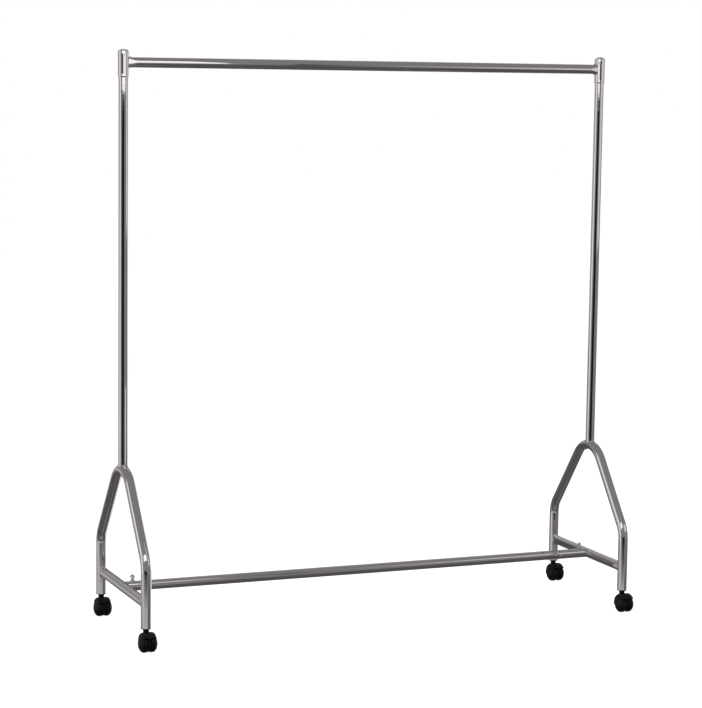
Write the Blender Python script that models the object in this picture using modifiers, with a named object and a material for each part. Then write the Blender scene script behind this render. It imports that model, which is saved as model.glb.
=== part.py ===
"""A chromed garment rail on four twin-wheel castors, modelled as the pieces it comes apart into.

X runs along the rail, from left to right. Y runs from front to rear, and Z is up. The origin is on the
floor, under the middle of the bounding box. Everything is in metres.
"""

import math

import bmesh
import bpy
from mathutils import Matrix, Vector

# Overall layout.
RAIL_SPAN = 1.520  # between the centre lines of the two uprights
LEG_SPACING = 0.462  # between the centre lines of one end frame's two legs
LEG_FOOT_Z = 0.0660  # lower end of the leg tubes
TIE_Z = 0.1355  # centre line of the cross tubes and of the tie rail
TOP_RAIL_Z = 1.649  # centre line of the top rail
GAP = 0.0003  # left between two pieces that touch
SLIP_GAP = 0.0004  # left round a tube that slips over another

# Tubes.
WALL = 0.0015
FRAME_TUBE = 0.0304
UPRIGHT_TUBE = 0.0286
TOP_RAIL_TUBE = 0.0290
TIE_TUBE = 0.0286
CROSS_TUBE = 0.0286
TUBE_SIDES = 20

# End frame: an arch bent from one tube.
KNEE_CORNER_Z = 0.247
APEX_CORNER_Z = 0.537
UNDER_ARCH_Z = 0.457  # inside the arch, below the tube at its top
UNDER_ARCH_HEIGHT = 0.040
KNEE_RADIUS = 0.075
APEX_RADIUS = 0.094
KNEE_STEPS = 3
APEX_STEPS = 8
FRAME_TUBE_RINGS = 6  # bevel resolution of the bent tube: 16 sides

# Squeezed ends of the top rail and of the cross tubes.
SQUEEZE_LENGTH = 0.030
SQUEEZE_HEIGHT = 1.20  # height of the squeezed end over the tube's diameter
SQUEEZE_DEPTH = 0.66  # depth of the squeezed end over the tube's diameter
SQUEEZE_STEPS = 3

# Sleeves at the ends of the top rail, and their caps.
SLEEVE_TUBE = 0.0324
SLEEVE_TOP_Z = 1.6815
SLEEVE_BOTTOM_Z = 1.6065
SLOT_WIDTH = 0.0072
SLOT_TOP_Z = 1.6730
SLOT_BOTTOM_Z = 1.6160
SLOT_EYE = 0.0100  # diameter of the round eye at the slot's upper end
SLOT_TURN = math.radians(22)  # from the front towards the left
CAP_RISE = 0.0046
CAP_DEPTH = 0.0080
CAP_WALL = 0.0015
CAP_STEPS = 3

# Spigots that the uprights and the tie rail slip over.
SPIGOT_WALL = 0.0015
UPRIGHT_SPIGOT_TOP_Z = 0.590
TIE_SPIGOT_LENGTH = 0.070

# Thumb screws and their weld nuts.
SCREW_INSET = 0.029  # from the upright's centre line to the screw's
SCREW_SHANK = 0.0060
SCREW_SHOULDER = 0.0095
SCREW_SHOULDER_HEIGHT = 0.0026
SCREW_HEAD = 0.0152
SCREW_HEAD_THICKNESS = 0.0030
SCREW_HEAD_EDGE = 0.0006  # chamfer round the head
SCREW_TIP = 0.0008  # chamfer at the tip
SCREW_RISE = 0.0205  # from the top of the tie rail to the top of the head
NUT_ACROSS_CORNERS = 0.0138
NUT_HEIGHT = 0.0030
SCREW_TURN = {"left": math.radians(-50), "right": math.radians(27)}

# Castors.
TRAIL = 0.016  # from the swivel axis to the axle
WHEEL_RADIUS = 0.025
WHEEL_INNER_X = 0.0060
WHEEL_TREAD_X = 0.0125  # where the tread ends and the domed side starts
WHEEL_OUTER_X = 0.0275
WHEEL_SIDES = 20
WHEEL_DOME_STEPS = 4
WHEEL_HUB_RADIUS = 0.0070
WHEEL_RIM_RADIUS = 0.0185
WHEEL_RECESS = 0.0060
WHEEL_DRAFT = 0.0010  # taper of the recess
AXLE_RADIUS = 0.0030
AXLE_HALF_LENGTH = 0.0215
HOOD_SIDES = 20
WEB_THICKNESS = 0.0070
WEB_HUB_RADIUS = 0.0235
WEB_HUB_THICKNESS = 0.0090
HOOD_RADIUS = 0.0318
HOOD_WALL = 0.0025
HOOD_SIDE = 0.0165  # width of the hood's rounded side
HOOD_EDGE_X = 0.0200
HOOD_STEPS = 2
HOOD_FRONT_ANGLE = math.radians(140)  # from the rear, up and over to the front edge
HOOD_REAR_ANGLE = math.radians(-14)
OPEN_SECTOR_STEPS = 8
BOSS_RADIUS = 0.0085
BOSS_TOP_Z = 0.0618
BOSS_NECK_Z = 0.0500  # below here the boss narrows, to pass between the wheels
BOSS_FOOT_RADIUS = 0.0055
BOSS_BOTTOM_Z = 0.0340
STEM_RADIUS = 0.0040
STEM_BOTTOM_Z = 0.0380
STEM_TOP_Z = 0.0930
STEM_GROOVE_Z = 0.0850
STEM_GROOVE_RADIUS = 0.0034
STEM_GROOVE_HEIGHT = 0.0020
STEM_CHAMFER = (0.0010, 0.0020)  # across and along
SOCKET_FLANGE = 0.0034
SOCKET_LIP_RADIUS = 0.0105
SOCKET_LIP_EDGE = 0.0012  # height of the flange's straight rim
SOCKET_TOP_Z = 0.1050
SOCKET_CHAMFER = (0.0010, 0.0040)  # across and along
SOCKET_SIDES = 16
SMALL_SIDES = 12

SIDES = {"left": -1, "right": 1}
ENDS = {"front": -1, "rear": 1}

HALF_SPAN = RAIL_SPAN / 2
HALF_LEGS = LEG_SPACING / 2
FRONT_REACH = HALF_LEGS + TRAIL + WHEEL_RADIUS
REAR_REACH = HALF_LEGS + FRAME_TUBE / 2
FRAME_Y = (FRONT_REACH - REAR_REACH) / 2
X_AXIS = Vector((1, 0, 0))
Y_AXIS = Vector((0, 1, 0))
Z_AXIS = Vector((0, 0, 1))

CHROME = ((0.74, 0.72, 0.74), 1.0, 0.12)
ZINC = ((0.60, 0.60, 0.60), 1.0, 0.32)
BLACK_NYLON = ((0.018, 0.017, 0.018), 0.0, 0.38)
BLACK_SOCKET = ((0.022, 0.021, 0.022), 0.0, 0.50)


def clear_scene():
    for obj in list(bpy.data.objects):
        bpy.data.objects.remove(obj, do_unlink=True)


def new_collection(name):
    collection = bpy.data.collections.new(name)
    bpy.context.scene.collection.children.link(collection)
    return collection


clear_scene()
PARTS = new_collection("garment_rail")
CUTTERS = new_collection("cutters")


def new_material(name, finish):
    colour, metallic, roughness = finish
    material = bpy.data.materials.new(name)
    material.use_nodes = True
    shader = material.node_tree.nodes["Principled BSDF"]
    shader.inputs["Base Color"].default_value = (*colour, 1.0)
    shader.inputs["Metallic"].default_value = metallic
    shader.inputs["Roughness"].default_value = roughness
    return material


def place(obj, finish=None, parent=None):
    """Puts a part in the parts collection with its own material, or a cutter in the cutters' one."""
    if finish is None:
        CUTTERS.objects.link(obj)
        obj.hide_render = True
        obj.display_type = "WIRE"
    else:
        PARTS.objects.link(obj)
        obj.data.materials.append(new_material(obj.name, finish))
    if parent is not None:
        obj.parent = parent
        obj.matrix_parent_inverse = parent.matrix_basis.inverted()
    return obj


def aim(obj, along, up):
    """Turns an object so that its own Z points along one direction and its own X up another."""
    side = along.cross(up)
    obj.rotation_euler = Matrix((up, side, along)).transposed().to_euler()


def turned(name, outline, sides, at, along=Z_AXIS, up=X_AXIS):
    """A solid of revolution about `along`. The outline's (radius, height) points run down its outer side."""
    mesh = bpy.data.meshes.new(name)
    closed = outline[0][0] > 0
    flat_down = math.pi / sides
    points = [
        (radius * math.cos(flat_down), radius * math.sin(flat_down), height) for radius, height in outline
    ]
    edges = [(i, i + 1) for i in range(len(points) - 1)]
    if closed:
        edges.append((len(points) - 1, 0))
    mesh.from_pydata(points, edges, [])
    obj = bpy.data.objects.new(name, mesh)
    obj.location = at
    aim(obj, along, up)
    screw = obj.modifiers.new("turn", "SCREW")
    screw.steps = sides
    screw.render_steps = sides
    screw.use_merge_vertices = True
    screw.merge_threshold = 0.00001
    screw.use_smooth_shade = True
    return obj


def ring(radius, bore, low, high):
    """The outline of a plain tube or bush between two heights."""
    return [(radius, high), (radius, low), (bore, low), (bore, high)]


def rod(radius, low, high):
    """The outline of a plain solid rod between two heights."""
    return [(0, high), (radius, high), (radius, low), (0, low)]


def boolean(obj, cutter, operation="DIFFERENCE"):
    modifier = obj.modifiers.new(operation.lower(), "BOOLEAN")
    modifier.object = cutter
    modifier.operation = operation
    modifier.solver = "EXACT"


def evaluated_mesh(obj, name):
    """The object's mesh with its modifiers applied, in world space."""
    bpy.context.view_layer.update()
    graph = bpy.context.evaluated_depsgraph_get()
    mesh = bpy.data.meshes.new_from_object(obj.evaluated_get(graph))
    mesh.name = name
    mesh.transform(obj.matrix_world)
    return mesh


def rounded_path(corners, radii, steps):
    """A path through 2-D corners, with an arc of the given radius at each inner corner."""
    points = [Vector(corners[0])]
    for index, (radius, count) in enumerate(zip(radii, steps), start=1):
        corner = Vector(corners[index])
        back = (Vector(corners[index - 1]) - corner).normalized()
        ahead = (Vector(corners[index + 1]) - corner).normalized()
        half = back.angle(ahead) / 2
        centre = corner + (back + ahead).normalized() * radius / math.sin(half)
        start = corner + back * radius / math.tan(half) - centre
        end = corner + ahead * radius / math.tan(half) - centre
        sweep = math.pi - 2 * half
        for step in range(count + 1):
            share = step / count
            weights = (math.sin((1 - share) * sweep), math.sin(share * sweep))
            points.append(centre + (start * weights[0] + end * weights[1]) / math.sin(sweep))
    points.append(Vector(corners[-1]))
    return points


def bent_tube(name, path, x, radius, caps):
    """A round bar or open skin along a path in the YZ plane at x, as a mesh."""
    curve = bpy.data.curves.new(name, "CURVE")
    curve.dimensions = "3D"
    curve.bevel_depth = radius
    curve.bevel_resolution = FRAME_TUBE_RINGS
    curve.use_fill_caps = caps
    spline = curve.splines.new("POLY")
    spline.points.add(len(path) - 1)
    for point, (y, z) in zip(spline.points, path):
        point.co = (x, FRAME_Y + y, z, 1)
    source = bpy.data.objects.new(name + "_path", curve)
    PARTS.objects.link(source)
    mesh = evaluated_mesh(source, name)
    bpy.data.objects.remove(source, do_unlink=True)
    work = bmesh.new()
    work.from_mesh(mesh)
    bmesh.ops.remove_doubles(work, verts=work.verts, dist=0.00001)
    bmesh.ops.recalc_face_normals(work, faces=work.faces)
    work.to_mesh(mesh)
    work.free()
    return bpy.data.objects.new(name, mesh)


def add_wall(obj, wall):
    """Gives an open skin a wall on its inner side."""
    solid = obj.modifiers.new("wall", "SOLIDIFY")
    solid.thickness = wall
    solid.offset = -1
    solid.use_even_offset = True


def smooth_step(share):
    share = min(max(share, 0.0), 1.0)
    return share * share * (3 - 2 * share)


def squeezed_tube(name, diameter, length, at, along, up):
    """A tube whose two ends are squeezed in depth, so that they grow in height."""
    mesh = bpy.data.meshes.new(name)
    work = bmesh.new()
    half = length / 2
    turn = Matrix.Rotation(math.pi / TUBE_SIDES, 4, "Z")
    bmesh.ops.create_cone(
        work,
        cap_ends=False,
        segments=TUBE_SIDES,
        radius1=diameter / 2,
        radius2=diameter / 2,
        depth=length,
        matrix=turn,
    )
    for end in (-1, 1):
        for step in range(1, SQUEEZE_STEPS + 1):
            height = end * (half - SQUEEZE_LENGTH * step / SQUEEZE_STEPS)
            geometry = work.verts[:] + work.edges[:] + work.faces[:]
            bmesh.ops.bisect_plane(work, geom=geometry, plane_co=(0, 0, height), plane_no=Z_AXIS)
    for vertex in work.verts:
        share = smooth_step(1 - (half - abs(vertex.co.z)) / SQUEEZE_LENGTH)
        vertex.co.x *= 1 + (SQUEEZE_HEIGHT - 1) * share
        vertex.co.y *= 1 + (SQUEEZE_DEPTH - 1) * share
    work.to_mesh(mesh)
    work.free()
    obj = bpy.data.objects.new(name, mesh)
    obj.location = at
    aim(obj, along, up)
    add_wall(obj, WALL)
    return obj


def box_cutter(name, size, at, parent=None):
    mesh = bpy.data.meshes.new(name)
    work = bmesh.new()
    bmesh.ops.create_cube(work, size=1.0, matrix=Matrix.Diagonal((*size, 1)))
    work.to_mesh(mesh)
    work.free()
    obj = bpy.data.objects.new(name, mesh)
    obj.location = at
    return place(obj, parent=parent)


def make_end_frame(side, sign):
    """One tube bent into an arch, and the bar that its neighbours' ends are cut back with."""
    corners = [
        (-HALF_LEGS, LEG_FOOT_Z),
        (-HALF_LEGS, KNEE_CORNER_Z),
        (0, APEX_CORNER_Z),
        (HALF_LEGS, KNEE_CORNER_Z),
        (HALF_LEGS, LEG_FOOT_Z),
    ]
    radii = (KNEE_RADIUS, APEX_RADIUS, KNEE_RADIUS)
    path = rounded_path(corners, radii, (KNEE_STEPS, APEX_STEPS, KNEE_STEPS))
    frame = bent_tube(f"{side}_end_frame", path, sign * HALF_SPAN, FRAME_TUBE / 2, caps=False)
    add_wall(frame, WALL)
    place(frame, CHROME)
    bar = bent_tube(f"{side}_frame_cope", path, sign * HALF_SPAN, FRAME_TUBE / 2 + GAP, caps=True)
    return place(bar)


def make_cross_tube(side, sign, frame_cope):
    """The tube welded between the legs of one end frame, and the bar that the tie rail is cut back with."""
    at = (sign * HALF_SPAN, FRAME_Y, TIE_Z)
    tube = squeezed_tube(f"{side}_cross_tube", CROSS_TUBE, LEG_SPACING, at, Y_AXIS, Z_AXIS)
    boolean(tube, frame_cope)
    place(tube, CHROME)
    outline = rod(CROSS_TUBE / 2 + GAP, -HALF_LEGS / 2, HALF_LEGS / 2)
    return place(turned(f"{side}_cross_cope", outline, TUBE_SIDES, at, Y_AXIS, Z_AXIS))


def make_upright(side, sign, frame_cope):
    """The upright and the spigot under it, both cut to sit on the arch."""
    at = (sign * HALF_SPAN, FRAME_Y, 0)
    top = SLEEVE_TOP_Z - CAP_DEPTH - GAP
    bore = UPRIGHT_TUBE / 2 - WALL
    upright = turned(f"{side}_upright", ring(UPRIGHT_TUBE / 2, bore, UNDER_ARCH_Z, top), TUBE_SIDES, at)
    spigot_radius = bore - SLIP_GAP
    outline = ring(spigot_radius, spigot_radius - SPIGOT_WALL, UNDER_ARCH_Z, UPRIGHT_SPIGOT_TOP_Z)
    spigot = turned(f"{side}_upright_spigot", outline, TUBE_SIDES, at)
    # Nothing of either tube may stay inside or under the arch.
    size = (2 * FRAME_TUBE, 2 * FRAME_TUBE, UNDER_ARCH_HEIGHT)
    below = box_cutter(f"{side}_under_arch", size, (at[0], FRAME_Y, UNDER_ARCH_Z))
    for tube in (upright, spigot):
        boolean(tube, frame_cope)
        boolean(tube, below)
        place(tube, CHROME)
    return upright


def make_tie_rail(cross_copes, screw_holes):
    """The low rail, and the stubs that it slips over."""
    at = (0, FRAME_Y, TIE_Z)
    bore = TIE_TUBE / 2 - WALL
    rail = turned("tie_rail", ring(TIE_TUBE / 2, bore, -HALF_SPAN, HALF_SPAN), TUBE_SIDES, at, X_AXIS, Z_AXIS)
    place(rail, CHROME)
    for side, sign in SIDES.items():
        boolean(rail, cross_copes[side])
        radius = bore - SLIP_GAP
        near = HALF_SPAN - TIE_SPIGOT_LENGTH
        ends = sorted((sign * near, sign * HALF_SPAN))
        outline = ring(radius, radius - SPIGOT_WALL, *ends)
        spigot = turned(f"{side}_tie_spigot", outline, TUBE_SIDES, at, X_AXIS, Z_AXIS)
        boolean(spigot, cross_copes[side])
        place(spigot, ZINC)
        boolean(rail, screw_holes[side])


def screw_axis(sign):
    return Vector((sign * (HALF_SPAN - SCREW_INSET), FRAME_Y, 0))


def make_screw_nut(side, sign):
    """The nut welded on the tie rail, and the cutter for the hole through it and the rail's upper wall."""
    rail_top = TIE_Z + TIE_TUBE / 2
    outline = rod(SCREW_SHANK / 2 + GAP, TIE_Z + TIE_TUBE / 4, rail_top + 2 * NUT_HEIGHT)
    hole = place(turned(f"{side}_screw_hole", outline, SMALL_SIDES, screw_axis(sign)))
    outline = rod(NUT_ACROSS_CORNERS / 2, rail_top - NUT_HEIGHT, rail_top + NUT_HEIGHT)
    nut = turned(f"{side}_screw_nut", outline, 6, screw_axis(sign))
    outline = rod(TIE_TUBE / 2 + GAP, -2 * NUT_HEIGHT, 2 * NUT_HEIGHT)
    cope_at = screw_axis(sign) + TIE_Z * Z_AXIS
    boolean(nut, place(turned(f"{side}_nut_cope", outline, TUBE_SIDES, cope_at, X_AXIS, Z_AXIS)))
    boolean(nut, hole)
    place(nut, ZINC)
    return hole


def make_thumb_screw(side, sign):
    """A thumb screw with a flat round head."""
    axis_at = screw_axis(sign)
    rail_top = TIE_Z + TIE_TUBE / 2
    pivot = bpy.data.objects.new(f"{side}_thumb_screw_axis", None)
    pivot.location = axis_at
    PARTS.objects.link(pivot)
    shank = SCREW_SHANK / 2
    shoulder = SCREW_SHOULDER / 2
    tip = rail_top - WALL - SLIP_GAP + GAP
    shoulder_low = rail_top + NUT_HEIGHT + GAP
    shoulder_high = shoulder_low + SCREW_SHOULDER_HEIGHT
    head_z = rail_top + SCREW_RISE - SCREW_HEAD / 2
    outline = [
        (0, head_z),
        (shank, head_z),
        (shank, shoulder_high),
        (shoulder, shoulder_high),
        (shoulder, shoulder_low),
        (shank, shoulder_low),
        (shank, tip + SCREW_TIP),
        (shank - SCREW_TIP, tip),
        (0, tip),
    ]
    screw = turned(f"{side}_thumb_screw", outline, SMALL_SIDES, axis_at)
    facing = Vector((math.sin(SCREW_TURN[side]), -math.cos(SCREW_TURN[side]), 0))
    half = SCREW_HEAD_THICKNESS / 2
    edge = SCREW_HEAD_EDGE
    outline = [
        (0, half),
        (SCREW_HEAD / 2 - edge, half),
        (SCREW_HEAD / 2, half - edge),
        (SCREW_HEAD / 2, edge - half),
        (SCREW_HEAD / 2 - edge, -half),
        (0, -half),
    ]
    head = turned(f"{side}_screw_head", outline, SMALL_SIDES + 4, axis_at + head_z * Z_AXIS, facing, Z_AXIS)
    boolean(screw, place(head), "UNION")
    place(screw, ZINC, parent=pivot)


def slot_cutter(side, at):
    """A long slot with a round eye at its upper end, through one wall of a sleeve and of its upright."""
    facing = Vector((-math.sin(SLOT_TURN), -math.cos(SLOT_TURN), 0))
    low = SLOT_BOTTOM_Z + SLOT_WIDTH / 2
    eye_z = SLOT_TOP_Z - SLOT_EYE / 2
    slot = box_cutter(
        f"{side}_slot",
        (SLOT_WIDTH, SLEEVE_TUBE, eye_z - low),
        (at.x + facing.x * SLEEVE_TUBE / 2, at.y + facing.y * SLEEVE_TUBE / 2, (low + eye_z) / 2),
    )
    slot.rotation_euler = (0, 0, -SLOT_TURN)
    depth = rod(SLOT_WIDTH / 2, 0, SLEEVE_TUBE)
    foot = turned(f"{side}_slot_foot", depth, SMALL_SIDES, (at.x, at.y, low), facing, Z_AXIS)
    eye_outline = rod(SLOT_EYE / 2, 0, SLEEVE_TUBE)
    eye = turned(f"{side}_slot_eye", eye_outline, SMALL_SIDES, (at.x, at.y, eye_z), facing, Z_AXIS)
    return [slot, place(foot), place(eye)]


def make_top_rail(uprights):
    """The hanging rail, and the slotted, capped sleeves that hold it on the uprights."""
    pivot = bpy.data.objects.new("top_rail_lift", None)
    pivot.location = (0, FRAME_Y, TOP_RAIL_Z)
    PARTS.objects.link(pivot)
    at = Vector((0, FRAME_Y, TOP_RAIL_Z))
    end_length = RAIL_SPAN - SLEEVE_TUBE / 2
    rail = squeezed_tube("top_rail", TOP_RAIL_TUBE, end_length, at, X_AXIS, Z_AXIS)
    bore = UPRIGHT_TUBE / 2 + SLIP_GAP
    for side, sign in SIDES.items():
        axis_at = Vector((sign * HALF_SPAN, FRAME_Y, 0))
        outline = rod(SLEEVE_TUBE / 2 + GAP, SLEEVE_BOTTOM_Z, SLEEVE_TOP_Z)
        cope = turned(f"{side}_sleeve_cope", outline, TUBE_SIDES, axis_at)
        boolean(rail, place(cope))
        outline = ring(SLEEVE_TUBE / 2, bore, SLEEVE_BOTTOM_Z, SLEEVE_TOP_Z)
        sleeve = turned(f"{side}_sleeve", outline, TUBE_SIDES, axis_at)
        for cutter in slot_cutter(side, axis_at):
            boolean(sleeve, cutter)
            boolean(uprights[side], cutter)
        place(sleeve, CHROME, parent=pivot)
        make_cap(side, axis_at, bore - GAP, pivot)
    place(rail, CHROME, parent=pivot)


def make_cap(side, axis_at, radius, pivot):
    """A shallow domed cap pressed into the top of a sleeve, hollow underneath."""
    sphere = (radius * radius + CAP_RISE * CAP_RISE) / (2 * CAP_RISE)
    centre = SLEEVE_TOP_Z + CAP_RISE - sphere
    half_angle = math.asin(radius / sphere)
    angles = [half_angle * step / CAP_STEPS for step in range(CAP_STEPS + 1)]
    outside = [(sphere * math.sin(a), centre + sphere * math.cos(a)) for a in angles]
    inner = sphere - CAP_WALL
    inner_half = math.asin((radius - CAP_WALL) / inner)
    angles = [inner_half * step / CAP_STEPS for step in range(CAP_STEPS, -1, -1)]
    inside = [(inner * math.sin(a), centre + inner * math.cos(a)) for a in angles]
    foot = SLEEVE_TOP_Z - CAP_DEPTH
    outline = [*outside, (radius, foot), (radius - CAP_WALL, foot), *inside]
    cap = turned(f"{side}_sleeve_cap", outline, TUBE_SIDES, axis_at)
    place(cap, CHROME, parent=pivot)


def make_socket(name, stem_at):
    """The plastic plug in the end of a leg tube, which the castor's stem is pushed into."""
    plug = FRAME_TUBE / 2 - WALL - GAP
    bore = STEM_RADIUS + GAP
    flange_top = LEG_FOOT_Z - GAP
    flange_low = flange_top - SOCKET_FLANGE
    outline = [
        (plug - SOCKET_CHAMFER[0], SOCKET_TOP_Z),
        (plug, SOCKET_TOP_Z - SOCKET_CHAMFER[1]),
        (plug, flange_top),
        (FRAME_TUBE / 2, flange_top),
        (FRAME_TUBE / 2, flange_top - SOCKET_LIP_EDGE),
        (SOCKET_LIP_RADIUS, flange_low),
        (bore, flange_low),
        (bore, SOCKET_TOP_Z),
    ]
    place(turned(f"{name}_socket", outline, SOCKET_SIDES, stem_at), BLACK_SOCKET)


def make_stem(name, stem_at):
    """The steel stem, with a groove near its top for a grip ring."""
    groove_low = STEM_GROOVE_Z - STEM_GROOVE_HEIGHT / 2
    groove_high = STEM_GROOVE_Z + STEM_GROOVE_HEIGHT / 2
    outline = [
        (0, STEM_TOP_Z),
        (STEM_RADIUS - STEM_CHAMFER[0], STEM_TOP_Z),
        (STEM_RADIUS, STEM_TOP_Z - STEM_CHAMFER[1]),
        (STEM_RADIUS, groove_high),
        (STEM_GROOVE_RADIUS, groove_high),
        (STEM_GROOVE_RADIUS, groove_low),
        (STEM_RADIUS, groove_low),
        (STEM_RADIUS, STEM_BOTTOM_Z),
        (0, STEM_BOTTOM_Z),
    ]
    place(turned(f"{name}_stem", outline, SMALL_SIDES, stem_at), ZINC)


def wheel_outline():
    """A wheel seen from its inner face: hub, recess, rim, tread, and a domed outer side with no bore."""
    dome = WHEEL_OUTER_X - WHEEL_TREAD_X
    bore = AXLE_RADIUS + GAP
    angles = [math.pi / 2 * step / WHEEL_DOME_STEPS for step in range(WHEEL_DOME_STEPS + 1)]
    side = [(WHEEL_RADIUS * math.sin(a), WHEEL_TREAD_X + dome * math.cos(a)) for a in angles]
    side[0] = (0, WHEEL_OUTER_X)
    floor_x = WHEEL_INNER_X + WHEEL_RECESS
    inner = [
        (WHEEL_RADIUS, WHEEL_INNER_X),
        (WHEEL_RIM_RADIUS, WHEEL_INNER_X),
        (WHEEL_RIM_RADIUS - WHEEL_DRAFT, floor_x),
        (WHEEL_HUB_RADIUS, floor_x),
        (WHEEL_HUB_RADIUS, WHEEL_INNER_X),
        (bore, WHEEL_INNER_X),
        (bore, AXLE_HALF_LENGTH + GAP),
        (0, AXLE_HALF_LENGTH + GAP),
    ]
    corner = 1 / math.cos(math.pi / WHEEL_SIDES)
    return [(radius * corner, x) for radius, x in side + inner]


def hood_outline():
    """The section of the hood's fender, from its right edge over the crown and back along the inside."""
    crown = WHEEL_TREAD_X
    reach = math.asin((HOOD_EDGE_X - crown) / HOOD_SIDE)
    angles = [reach * step / HOOD_STEPS for step in range(HOOD_STEPS, -1, -1)]
    right = [(HOOD_RADIUS * math.cos(a), crown + HOOD_SIDE * math.sin(a)) for a in angles]
    outer = right + [(radius, -x) for radius, x in reversed(right)]
    side = HOOD_SIDE - HOOD_WALL
    radius_in = HOOD_RADIUS - HOOD_WALL
    reach = math.asin((HOOD_EDGE_X - crown) / side)
    angles = [reach * step / HOOD_STEPS for step in range(HOOD_STEPS, -1, -1)]
    right = [(radius_in * math.cos(a), crown + side * math.sin(a)) for a in angles]
    inner = [(radius, -x) for radius, x in right] + list(reversed(right))
    return outer + inner


def open_sector_cutter(name, axle_at):
    """A wide wedge about the axle that takes away the part of the hood below its two edges."""
    reach = 2 * HOOD_RADIUS
    full = 2 * math.pi
    start = HOOD_FRONT_ANGLE
    end = HOOD_REAR_ANGLE + full
    rim = [start + (end - start) * step / OPEN_SECTOR_STEPS for step in range(OPEN_SECTOR_STEPS + 1)]
    outline = [(0.0, 0.0)] + [(reach * math.cos(a), reach * math.sin(a)) for a in rim]
    curve = bpy.data.curves.new(name, "CURVE")
    curve.dimensions = "2D"
    curve.fill_mode = "BOTH"
    curve.extrude = HOOD_EDGE_X * 2
    spline = curve.splines.new("POLY")
    spline.points.add(len(outline) - 1)
    spline.use_cyclic_u = True
    for point, (y, z) in zip(spline.points, outline):
        point.co = (y, z, 0, 1)
    source = bpy.data.objects.new(name + "_outline", curve)
    # The outline's own X is the world's Y, its own Y is up, and it is extruded along the axle.
    source.rotation_euler = Matrix((Y_AXIS, Z_AXIS, X_AXIS)).transposed().to_euler()
    source.location = axle_at
    PARTS.objects.link(source)
    mesh = evaluated_mesh(source, name)
    bpy.data.objects.remove(source, do_unlink=True)
    work = bmesh.new()
    work.from_mesh(mesh)
    bmesh.ops.remove_doubles(work, verts=work.verts, dist=0.00001)
    bmesh.ops.recalc_face_normals(work, faces=work.faces)
    work.to_mesh(mesh)
    work.free()
    return place(bpy.data.objects.new(name, mesh))


def make_hood(name, stem_at, axle_at, pivot):
    """The nylon body: a fender over both wheels, the web between them, and the boss for the stem."""
    hood = turned(f"{name}_hood", hood_outline(), HOOD_SIDES, axle_at, X_AXIS, Z_AXIS)
    sector = open_sector_cutter(f"{name}_open_sector", axle_at)
    half = WEB_THICKNESS / 2
    outline = rod(HOOD_RADIUS - HOOD_WALL / 2, -half, half)
    web = turned(f"{name}_web", outline, HOOD_SIDES, axle_at, X_AXIS, Z_AXIS)
    boolean(hood, place(web), "UNION")
    boolean(hood, sector)
    half = WEB_HUB_THICKNESS / 2
    hub = turned(f"{name}_web_hub", rod(WEB_HUB_RADIUS, -half, half), HOOD_SIDES, axle_at, X_AXIS, Z_AXIS)
    boolean(hood, place(hub), "UNION")
    axle_hole = rod(AXLE_RADIUS + GAP, -HOOD_RADIUS, HOOD_RADIUS)
    boolean(hood, place(turned(f"{name}_axle_hole", axle_hole, SMALL_SIDES, axle_at, X_AXIS, Z_AXIS)))
    outline = [
        (0, BOSS_TOP_Z),
        (BOSS_RADIUS, BOSS_TOP_Z),
        (BOSS_RADIUS, BOSS_NECK_Z),
        (BOSS_FOOT_RADIUS, BOSS_NECK_Z),
        (BOSS_FOOT_RADIUS, BOSS_BOTTOM_Z),
        (0, BOSS_BOTTOM_Z),
    ]
    boolean(hood, place(turned(f"{name}_boss", outline, SMALL_SIDES, stem_at)), "UNION")
    stem_hole = rod(STEM_RADIUS + GAP, STEM_BOTTOM_Z - GAP, BOSS_TOP_Z + BOSS_RADIUS)
    boolean(hood, place(turned(f"{name}_stem_hole", stem_hole, SMALL_SIDES, stem_at)))
    place(hood, BLACK_NYLON, parent=pivot)


def make_castor(end, side):
    """One castor, trailing to the front, with its socket and stem in the leg's foot."""
    name = f"{end}_{side}_castor"
    stem_at = Vector((SIDES[side] * HALF_SPAN, FRAME_Y + ENDS[end] * HALF_LEGS, 0))
    axle_at = stem_at + Vector((0, -TRAIL, WHEEL_RADIUS))
    make_socket(name, stem_at)
    make_stem(name, stem_at)
    pivot = bpy.data.objects.new(f"{name}_swivel", None)
    pivot.location = stem_at
    PARTS.objects.link(pivot)
    make_hood(name, stem_at, axle_at, pivot)
    outline = rod(AXLE_RADIUS, -AXLE_HALF_LENGTH, AXLE_HALF_LENGTH)
    axle = turned(f"{name}_axle", outline, SMALL_SIDES, axle_at, X_AXIS, Z_AXIS)
    place(axle, ZINC, parent=pivot)
    for which, sign in SIDES.items():
        wheel = turned(f"{name}_{which}_wheel", wheel_outline(), WHEEL_SIDES, axle_at, sign * X_AXIS, Z_AXIS)
        place(wheel, BLACK_NYLON, parent=pivot)


def main():
    cross_copes = {}
    screw_holes = {}
    uprights = {}
    for side, sign in SIDES.items():
        frame_cope = make_end_frame(side, sign)
        cross_copes[side] = make_cross_tube(side, sign, frame_cope)
        uprights[side] = make_upright(side, sign, frame_cope)
        screw_holes[side] = make_screw_nut(side, sign)
        make_thumb_screw(side, sign)
    make_tie_rail(cross_copes, screw_holes)
    make_top_rail(uprights)
    for end in ENDS:
        for side in SIDES:
            make_castor(end, side)


main()
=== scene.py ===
"""The looks of a chromed garment rail on twin-wheel castors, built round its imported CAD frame."""

import math

import bmesh
import bpy
from mathutils import Matrix, Vector, noise


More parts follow.
